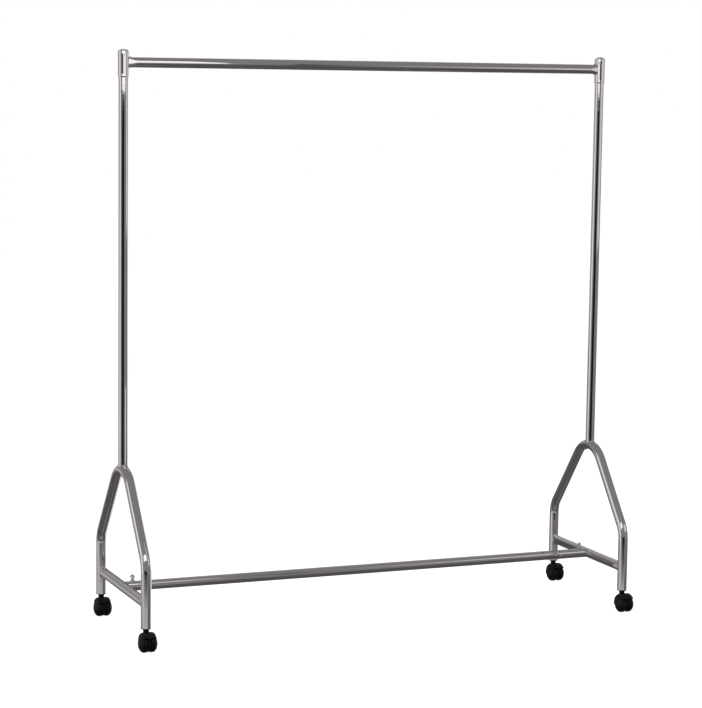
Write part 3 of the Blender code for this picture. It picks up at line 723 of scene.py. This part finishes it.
def make_sleeve(side, sign):
    """A slotted sleeve with rolled lips at both ends."""
    centre = Vector((sign * HALF_SPAN, FRAME_Y, 0))
    outer = SLEEVE_TUBE / 2
    inner = UPRIGHT_TUBE / 2 + 0.0004
    soft = 0.0004
    high = arc((outer - soft, SLEEVE_HIGH_Z - soft), soft, 20, 90, 4)
    high += arc((inner + soft, SLEEVE_HIGH_Z - soft), soft, 90, 160, 4)
    low = arc((inner + soft, SLEEVE_LOW_Z + soft), soft, 200, 270, 4)
    low += arc((outer - soft, SLEEVE_LOW_Z + soft), soft, 270, 340, 4)
    high_rows = [slot_strip(centre, radius, height) for radius, height in high]
    low_rows = [slot_strip(centre, radius, height) for radius, height in low]
    below = [SLEEVE_LOW_Z + soft, SLEEVE_LOW_Z + 0.004]
    above = [SLEEVE_HIGH_Z - 0.004, SLEEVE_HIGH_Z - soft]
    shell = slotted_tube(centre, outer, inner, below, above, low_rows, high_rows)
    piece(
        f"{side}_slotted_sleeve",
        shell,
        FITTING_CHROME,
        "hanging_rail",
        [f"{side}_sleeve"],
        sharp=32,
    )


def make_cap(side):
    """A domed cap with a sunk shoulder, pressed into the sleeve."""
    cad_cap = f"{side}_sleeve_cap"
    low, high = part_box(cad_cap)
    centre = Vector((middle(cad_cap).x, FRAME_Y, 0))
    radius = UPRIGHT_TUBE / 2 + 0.0001
    shoulder = SLEEVE_HIGH_Z - 0.0009
    dome = radius - 0.0013
    rise = high.z - shoulder
    profile = [(radius - 0.0012, low.z), (radius, low.z + 0.0005), (radius, shoulder - 0.0004)]
    profile += [(radius - 0.0004, shoulder), (dome + 0.0003, shoulder)]
    steps = 16
    for step in range(1, steps + 1):
        angle = math.pi / 2 * step / steps
        height = shoulder + rise * math.sin(angle) ** 0.9
        profile.append((max(dome * math.cos(angle), TIP), height))
    shell = lathe(profile, centre, closed=False)
    piece(f"{side}_domed_cap", shell, FITTING_CHROME, "hanging_rail", [cad_cap])


# ---------------------------------------------------------------- castors
def hood_section(inset):
    """The hood's section, (radius, x), from the right edge over the crown to the left and back inside."""
    loops = []
    for depth in (inset, HOOD_WALL - inset):
        side = HOOD_SIDE - depth
        radius = HOOD_RADIUS - depth
        reach = math.asin((HOOD_EDGE_X - inset - WHEEL_TREAD_X) / side)
        steps = 8
        right = []
        for step in range(steps, -1, -1):
            angle = reach * step / steps
            right.append((radius * math.cos(angle), WHEEL_TREAD_X + side * math.sin(angle)))
        crown = [(radius, WHEEL_TREAD_X * (1 - share / 4)) for share in range(1, 8)]
        left = [(r, -x) for r, x in reversed(right)]
        loops.append(right + crown + left)
    return loops[0] + list(reversed(loops[1]))


def around_axle(axle, radius, x, angle):
    """A point about a wheel's axle. Angle 0 is to the rear, and a quarter turn is up."""
    return axle + Vector((x, radius * math.cos(angle), radius * math.sin(angle)))


def plate(outline, axle, half, soft):
    """A flat plate between the wheels, with softened edges. The outline is (y, z) about the axle."""
    middle_y = sum(y for y, z in outline) / len(outline)
    middle_z = sum(z for y, z in outline) / len(outline)
    rings = []
    for x, shrink in ((-half, soft), (-half + soft, 0.0), (half - soft, 0.0), (half, soft)):
        ring = []
        for y, z in outline:
            way = Vector((y - middle_y, z - middle_z))
            way -= way.normalized() * shrink
            ring.append(axle + Vector((x, middle_y + way.x, middle_z + way.y)))
        rings.append(ring)
    return skin(rings, cap=True)


def hood_cover(axle):
    """The hood itself: its section swept round the axle, with thinner lips, and closed at both ends."""
    lip = 0.0006
    turn = lip / HOOD_RADIUS
    start = HOOD_REAR_ANGLE + turn
    steps = 52
    span = HOOD_SWEEP - 2 * turn
    angles = [HOOD_REAR_ANGLE, *(start + span * step / steps for step in range(steps + 1)), HOOD_FRONT_ANGLE]
    rings = []
    for index, angle in enumerate(angles):
        inset = lip if index in (0, len(angles) - 1) else 0.0
        rings.append([around_axle(axle, r, x, angle) for r, x in hood_section(inset)])
    points, faces = skin(rings)
    count = len(rings[0])
    for first in (0, len(points) - count):
        last = first + count - 1
        for step in range(count // 2 - 1):
            faces.append((first + step, first + step + 1, last - step - 1, last - step))
    return points, faces


def hood_seam(axle):
    """A low rib along the crown's middle, where the two halves of the mould met."""
    foot = HOOD_RADIUS - 0.0003
    crest = HOOD_RADIUS + 0.00022
    section = ((foot, 0.0007), (crest, 0.0003), (crest, -0.0003), (foot, -0.0007))
    margin = 0.03
    steps = 48
    rings = []
    for step in range(steps + 1):
        angle = HOOD_REAR_ANGLE + margin + (HOOD_SWEEP - 2 * margin) * step / steps
        rings.append([around_axle(axle, radius, x, angle) for radius, x in section])
    return skin(rings, cap=True)


def hood_web(axle):
    """The web between the wheels, from under the crown to a round hub about the axle."""
    outline = []
    crown = HOOD_RADIUS - 0.0012
    steps = 40
    for step in range(steps + 1):
        angle = HOOD_REAR_ANGLE + HOOD_SWEEP * step / steps
        outline.append((crown * math.cos(angle), crown * math.sin(angle)))
    margin = 0.35
    steps = 32
    for step in range(steps + 1):
        angle = HOOD_FRONT_ANGLE + margin + (math.tau - HOOD_SWEEP - 2 * margin) * step / steps
        outline.append((WEB_HUB_RADIUS * math.cos(angle), WEB_HUB_RADIUS * math.sin(angle)))
    edge = WEB_HUB_RADIUS - 0.0006
    half = 0.0045
    profile = [(WHEEL_BORE_RADIUS, -half), (edge, -half), (WEB_HUB_RADIUS, 0.0006 - half)]
    profile += [(WEB_HUB_RADIUS, half - 0.0006), (edge, half), (WHEEL_BORE_RADIUS, half)]
    return joined(plate(outline, axle, 0.0035, 0.0005), lathe(profile, axle, X_AXIS, Z_AXIS, 64))


def hood_boss(stem_at, top):
    """The boss that the stem is pressed into."""
    edge = 0.0009
    neck = top - BOSS_NECK
    foot = 0.0340
    foot_radius = 0.0055
    bore = STEM_BORE_RADIUS
    profile = [(bore, top - 0.004), (bore, top - 0.0003), (bore + 0.0004, top)]
    profile += arc((BOSS_RADIUS - edge, top - edge), edge, 90, 0, 6)
    profile += [(BOSS_RADIUS, neck + 0.0025), (BOSS_RADIUS + 0.0004, neck + 0.0009)]
    profile += [(foot_radius, neck + 0.0002), (foot_radius, foot + 0.0006)]
    profile += [(foot_radius - 0.0005, foot), (bore, foot)]
    return lathe(profile, stem_at, closed=True)


def make_castor(end, side):
    """One castor: the hood with all that is moulded to it, the plug in the leg, and two wheels."""
    name = f"{end}_{side}_castor"
    stem_at = middle(f"{name}_stem")
    stem_at.z = 0
    axle = middle(f"{name}_axle")
    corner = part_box(f"{name}_hood")[1]
    rear = corner.y - 0.0001
    points, faces = joined(hood_cover(axle), hood_seam(axle), hood_web(axle), hood_boss(stem_at, corner.z))
    points = [Vector((point.x, min(point.y, rear), point.z)) for point in points]
    shell = (points, faces)
    piece(f"{name}_body", shell, HOOD_NYLON, f"{name}_fork", [f"{name}_hood"], sharp=34)

    make_socket(name, stem_at)
    for which, sign in SIDES.items():
        make_wheel(name, which, sign, axle)


def make_socket(name, stem_at):
    """The plastic plug in the leg, with a tapered collar under the tube's end."""
    low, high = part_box(f"{name}_socket")
    plug = FRAME_TUBE / 2 - WALL - GAP
    collar = FRAME_TUBE / 2
    collar_top = LEG_FOOT_Z - GAP
    edge = 0.0006
    profile = [(plug - 0.001, high.z), (plug, high.z - 0.004)]
    for rib in range(4):
        z = collar_top + 0.030 - rib * 0.007
        profile += [(plug - 0.0004, z), (plug - 0.0004, z - 0.0010), (plug, z - 0.0014), (plug, z - 0.0020)]
    profile += [(plug, collar_top), (collar - 0.0004, collar_top)]
    profile += arc((collar - edge, collar_top - edge), edge, 70, -20, 5)
    profile += [(collar - 0.0004, collar_top - 0.0013)]
    taper_radius = collar - edge
    taper_top = collar_top - 0.0014
    steps = 8
    for step in range(steps + 1):
        share = step / steps
        radius = taper_radius - (taper_radius - SOCKET_FOOT_RADIUS) * math.sin(share * math.pi / 2)
        profile.append((radius, taper_top - (taper_top - low.z) * share))
    bore = STEM_BORE_RADIUS
    profile += [(SOCKET_FOOT_RADIUS - 0.0008, low.z), (bore + 0.0004, low.z)]
    profile += [(bore, low.z + 0.0004), (bore, high.z)]
    shell = lathe(profile, stem_at)
    piece(f"{name}_leg_plug", shell, SOCKET_NYLON, "stand", [f"{name}_socket"], sharp=34)


def wheel_profile():
    """Half the wheel's section, (radius, x): hub cap, dome, tread, hollow back, and the blind hole."""
    outer = WHEEL_OUTER_X
    inner = WHEEL_INNER_X
    profile = [(TIP, outer - 0.0009), (0.0040, outer - 0.0011), (0.0062, outer - 0.0017)]
    dome = WHEEL_OUTER_X - WHEEL_TREAD_X
    grooves = {9: 0.00055, 10: 0.00055, 24: 0.00035}
    steps = 30
    for step in range(7, steps + 1):
        angle = math.pi / 2 * step / steps
        groove = grooves.get(step, 0.0)
        radius = WHEEL_RADIUS * math.sin(angle) - groove * 0.5
        profile.append((radius, WHEEL_TREAD_X + dome * math.cos(angle) - groove))
    line = WHEEL_RADIUS - 0.0003
    profile += [(WHEEL_RADIUS, WHEEL_TREAD_X - 0.0004), (line, WHEEL_TREAD_X - 0.0007)]
    profile += [(line, WHEEL_TREAD_X - 0.0010), (WHEEL_RADIUS, WHEEL_TREAD_X - 0.0013)]
    edge = 0.0008
    profile += [(WHEEL_RADIUS, inner + edge)]
    profile += arc((WHEEL_RADIUS - edge, inner + edge), edge, -10, -90, 5)
    profile += [(0.0187, inner), (0.0184, inner + 0.0004), (0.0175, inner + 0.0060)]
    profile += [(0.0074, inner + 0.0060), (0.0070, inner + 0.0054), (0.0070, inner + 0.0003)]
    profile += [(0.0067, inner), (WHEEL_BORE_RADIUS, inner)]
    profile += [(WHEEL_BORE_RADIUS, WHEEL_BORE_END_X), (TIP, WHEEL_BORE_END_X)]
    return profile


def wheel_rib(axle, sign, rib):
    """One spoke in the wheel's hollow back, between the hub and the rim."""
    angle = math.tau * rib / WHEEL_RIBS
    way = Vector((0, math.cos(angle), math.sin(angle)))
    side = Vector((0, -math.sin(angle), math.cos(angle)))
    rings = []
    for radius in (0.0066, 0.0178):
        centre = axle + way * radius + X_AXIS * sign * (WHEEL_INNER_X + 0.0040)
        rings.append(loop(centre, side, X_AXIS, 0.0007, 0.0024, 8, 0.4))
    return skin(rings, cap=True)


def make_wheel(name, which, sign, axle):
    """One wheel: a thin moulded line round the tread, and a ringed hub cap on the domed side."""
    body = lathe(wheel_profile(), axle, X_AXIS * sign, Z_AXIS, 72, closed=False)
    ribs = [wheel_rib(axle, sign, rib) for rib in range(WHEEL_RIBS)]
    piece(
        f"{name}_{which}_tyre",
        joined(body, *ribs),
        WHEEL_NYLON,
        f"{name}_{which}_roller",
        [f"{name}_{which}_wheel"],
        sharp=34,
    )


# ---------------------------------------------------------------- the object
def finish_hidden_nodes():
    """The spigots, stems and axles keep their CAD shapes, and get their own metals."""
    for node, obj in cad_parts.items():
        if node.endswith("_spigot"):
            finish = SPIGOT_STEEL
        elif node.endswith(("_stem", "_axle")):
            finish = PIN_STEEL
        else:
            continue
        obj.data.materials.clear()
        obj.data.materials.append(finish)


def make_object():
    """Every piece, one side after the other."""
    for side, sign in SIDES.items():
        make_end_frame(side, sign)
        make_upright(side, sign)
        make_cross_tube(side, sign)
        make_screw(side)
        make_sleeve(side, sign)
        make_cap(side)
    make_tie_rail()
    make_top_rail()
    for end in ENDS:
        for side in SIDES:
            make_castor(end, side)
    finish_hidden_nodes()


# ---------------------------------------------------------------- stage, light and camera
CAMERA_AT = (-2.5974, -6.2674 + FRAME_Y, 1.6157)
CAMERA_YAW = math.radians(22.09)
CAMERA_PITCH = math.radians(6.929)
CAMERA_ROLL = math.radians(0.769)
CAMERA_LENS = 115.87


def make_camera():
    """To the left of the rail, a little above its middle, looking slightly down."""
    flat = math.cos(CAMERA_PITCH)
    forward = Vector((math.sin(CAMERA_YAW) * flat, math.cos(CAMERA_YAW) * flat, -math.sin(CAMERA_PITCH)))
    level = Vector((math.cos(CAMERA_YAW), -math.sin(CAMERA_YAW), 0))
    upward = level.cross(forward)
    right = level * math.cos(CAMERA_ROLL) + upward * math.sin(CAMERA_ROLL)
    up = upward * math.cos(CAMERA_ROLL) - level * math.sin(CAMERA_ROLL)
    data = bpy.data.cameras.new("camera")
    data.lens = CAMERA_LENS
    data.sensor_width = 36
    data.clip_start = 0.1
    data.clip_end = 100
    camera = bpy.data.objects.new("camera", data)
    bpy.context.scene.collection.objects.link(camera)
    facing = Matrix((right, up, -forward)).transposed().to_4x4()
    camera.matrix_world = Matrix.Translation(CAMERA_AT) @ facing
    bpy.context.scene.camera = camera


# Patches of the studio that the tubes reflect: azimuth and half width, elevation and half height, edge
# softness, all in degrees, and brightness. Azimuth 0 is towards the front and 90 towards the right.
STUDIO_BASE = 0.24
STUDIO = (
    (0, 180, -90, 66, 8, 0.10),  # dark ground all round
    (-30, 40, -38, 6, 9, 0.20),
    (-37, 55, -14.5, 1.5, 3, 0.56),  # lit floor before the camera
    (46, 26, -14, 2, 4, 0.15),
    (-154, 22, -3, 7, 8, 0.46),  # pale wall behind, on the left
    (124, 20, -16, 18, 9, 1.25),  # white sweep behind, on the right
    (165, 22, 30, 14, 10, 0.42),
    (-97, 12, 12, 20, 8, 0.95),  # tall soft box on the left
    (-24, 27, -4, 5.5, 4, 0.015),  # the dark room behind the camera
)

# Upright cards near the rail, which its tubes also reflect: the ends (x, y) of each, its lower and upper
# edges, and its brightness at each end.
CARDS = {
    "front_left_softbox": ((-3.0, -1.88), (0.2, -1.88), 1.55, 3.1, 1.25, 1.25),
    "right_wall_near": ((0.5, -1.97), (1.8, -1.97), 0.93, 2.1, 0.06, 0.75),
    "right_wall_far": ((1.8, -1.97), (3.4, -1.2), 0.93, 2.1, 0.75, 0.75),
    "low_card_left": ((-0.56, -0.35), (-0.30, -0.35), 0.42, 0.66, 0.85, 0.55),
    "dark_gap_behind": ((0.5, 1.5), (-0.4, 1.5), -0.6, 0.6, 0.09, 0.09),
}


def make_cards():
    """Glowing cards that only reflections see."""
    for name, (start, end, low, high, near_light, far_light) in CARDS.items():
        mesh = bpy.data.meshes.new(name)
        length = math.dist(start, end)
        corners = [(0, 0, low), (length, 0, low), (length, 0, high), (0, 0, high)]
        mesh.from_pydata(corners, [], [(0, 1, 2, 3)])
        card = bpy.data.objects.new(name, mesh)
        bpy.context.scene.collection.objects.link(card)
        card.location = (*start, 0)
        card.rotation_euler.z = math.atan2(end[1] - start[1], end[0] - start[0])
        material = bpy.data.materials.new(name)
        material.use_nodes = True
        tree = material.node_tree
        tree.nodes.clear()
        place = tree.nodes.new("ShaderNodeTexCoord")
        split = tree.nodes.new("ShaderNodeSeparateXYZ")
        ramp = tree.nodes.new("ShaderNodeMapRange")
        ramp.inputs["From Max"].default_value = length
        ramp.inputs["To Min"].default_value = near_light
        ramp.inputs["To Max"].default_value = far_light
        glow = tree.nodes.new("ShaderNodeEmission")
        output = tree.nodes.new("ShaderNodeOutputMaterial")
        tree.links.new(place.outputs["Object"], split.inputs["Vector"])
        tree.links.new(split.outputs["X"], ramp.inputs["Value"])
        tree.links.new(ramp.outputs["Result"], glow.inputs["Strength"])
        tree.links.new(glow.outputs["Emission"], output.inputs["Surface"])
        mesh.materials.append(material)
        card.visible_camera = False
        card.visible_diffuse = False
        card.visible_shadow = False


def make_world():
    """White to the camera. Reflections see the studio's patches, so each tube shows its bands of light."""
    world = bpy.data.worlds.new("studio")
    bpy.context.scene.world = world
    world.use_nodes = True
    tree = world.node_tree
    tree.nodes.clear()

    def node(kind, *inputs, **settings):
        made = tree.nodes.new(kind)
        for key, value in settings.items():
            setattr(made, key, value)
        for socket, value in zip(made.inputs, inputs):
            if isinstance(value, bpy.types.NodeSocket):
                tree.links.new(value, socket)
            else:
                socket.default_value = value
        return made.outputs[0]

    def maths(operation, *values):
        return node("ShaderNodeMath", *values, operation=operation)

    def window(angle, centre, half, soft):
        """1 within half of the centre, easing to 0 over the soft edge."""
        offset = maths("SUBTRACT", angle, math.radians(centre))
        offset = maths("ABSOLUTE", maths("WRAP", offset, math.pi, -math.pi))
        edges = (math.radians(half), math.radians(half + soft), 1.0, 0.0)
        return node("ShaderNodeMapRange", offset, *edges, interpolation_type="SMOOTHSTEP")

    direction = node("ShaderNodeTexCoord")
    split = tree.nodes.new("ShaderNodeSeparateXYZ")
    tree.links.new(direction, split.inputs["Vector"])
    azimuth = maths("ARCTAN2", split.outputs["X"], maths("MULTIPLY", split.outputs["Y"], -1.0))
    elevation = maths("ARCSINE", split.outputs["Z"])
    brightness = maths("ADD", STUDIO_BASE, 0.0)
    for turn, width, height, tall, soft, value in STUDIO:
        mask = window(elevation, height, tall, soft)
        if width < 180:
            mask = maths("MULTIPLY", mask, window(azimuth, turn, width, soft))
        change = maths("MULTIPLY", maths("SUBTRACT", value, brightness), mask)
        brightness = maths("ADD", brightness, change)
    room = node("ShaderNodeBackground", (1.0, 1.0, 1.0, 1.0), brightness)
    seen = node("ShaderNodeBackground", (1.0, 1.0, 1.0, 1.0), 1.0)
    to_camera = node("ShaderNodeLightPath")
    output = tree.nodes.new("ShaderNodeOutputWorld")
    tree.links.new(node("ShaderNodeMixShader", to_camera, room, seen), output.inputs["Surface"])


def make_floor():
    """A plain pale floor. The tubes see the studio's dark ground in place of it."""
    mesh = bpy.data.meshes.new("floor")
    reach = 14
    corners = [(-reach, -reach, 0), (reach, -reach, 0), (reach, reach, 0), (-reach, reach, 0)]
    mesh.from_pydata(corners, [], [(0, 1, 2, 3)])
    floor = bpy.data.objects.new("floor", mesh)
    bpy.context.scene.collection.objects.link(floor)
    floor.location.z = -0.0002
    material = bpy.data.materials.new("pale_floor")
    material.use_nodes = True
    shader = material.node_tree.nodes["Principled BSDF"]
    shader.inputs["Base Color"].default_value = (0.30, 0.30, 0.30, 1)
    shader.inputs["Roughness"].default_value = 1.0
    shader.inputs["Specular IOR Level"].default_value = 0.0
    shader.inputs["Emission Color"].default_value = (1, 1, 1, 1)
    shader.inputs["Emission Strength"].default_value = 0.97
    mesh.materials.append(material)
    floor.visible_glossy = False
    floor.visible_diffuse = False


LIGHTS = {
    "left_softbox": ((-3.2, -2.6, 3.0), 2.2, 60),
    "right_softbox": ((3.4, -1.6, 3.2), 2.0, 40),
    "top_softbox": ((0.0, 0.6, 4.2), 3.0, 90),
}


def make_lights():
    """Three soft boxes that light the black castors. The tubes see the studio's patches and cards instead."""
    for name, (at, size, power) in LIGHTS.items():
        data = bpy.data.lights.new(name, "AREA")
        data.size = size
        data.energy = power
        light = bpy.data.objects.new(name, data)
        bpy.context.scene.collection.objects.link(light)
        light.location = at
        light.rotation_euler = (Vector((0, 0, 0.8)) - Vector(at)).to_track_quat("-Z", "Y").to_euler()
        light.visible_glossy = False


bpy.context.scene.view_settings.view_transform = "Standard"
make_camera()
make_object()
make_world()
make_floor()
make_cards()
make_lights()
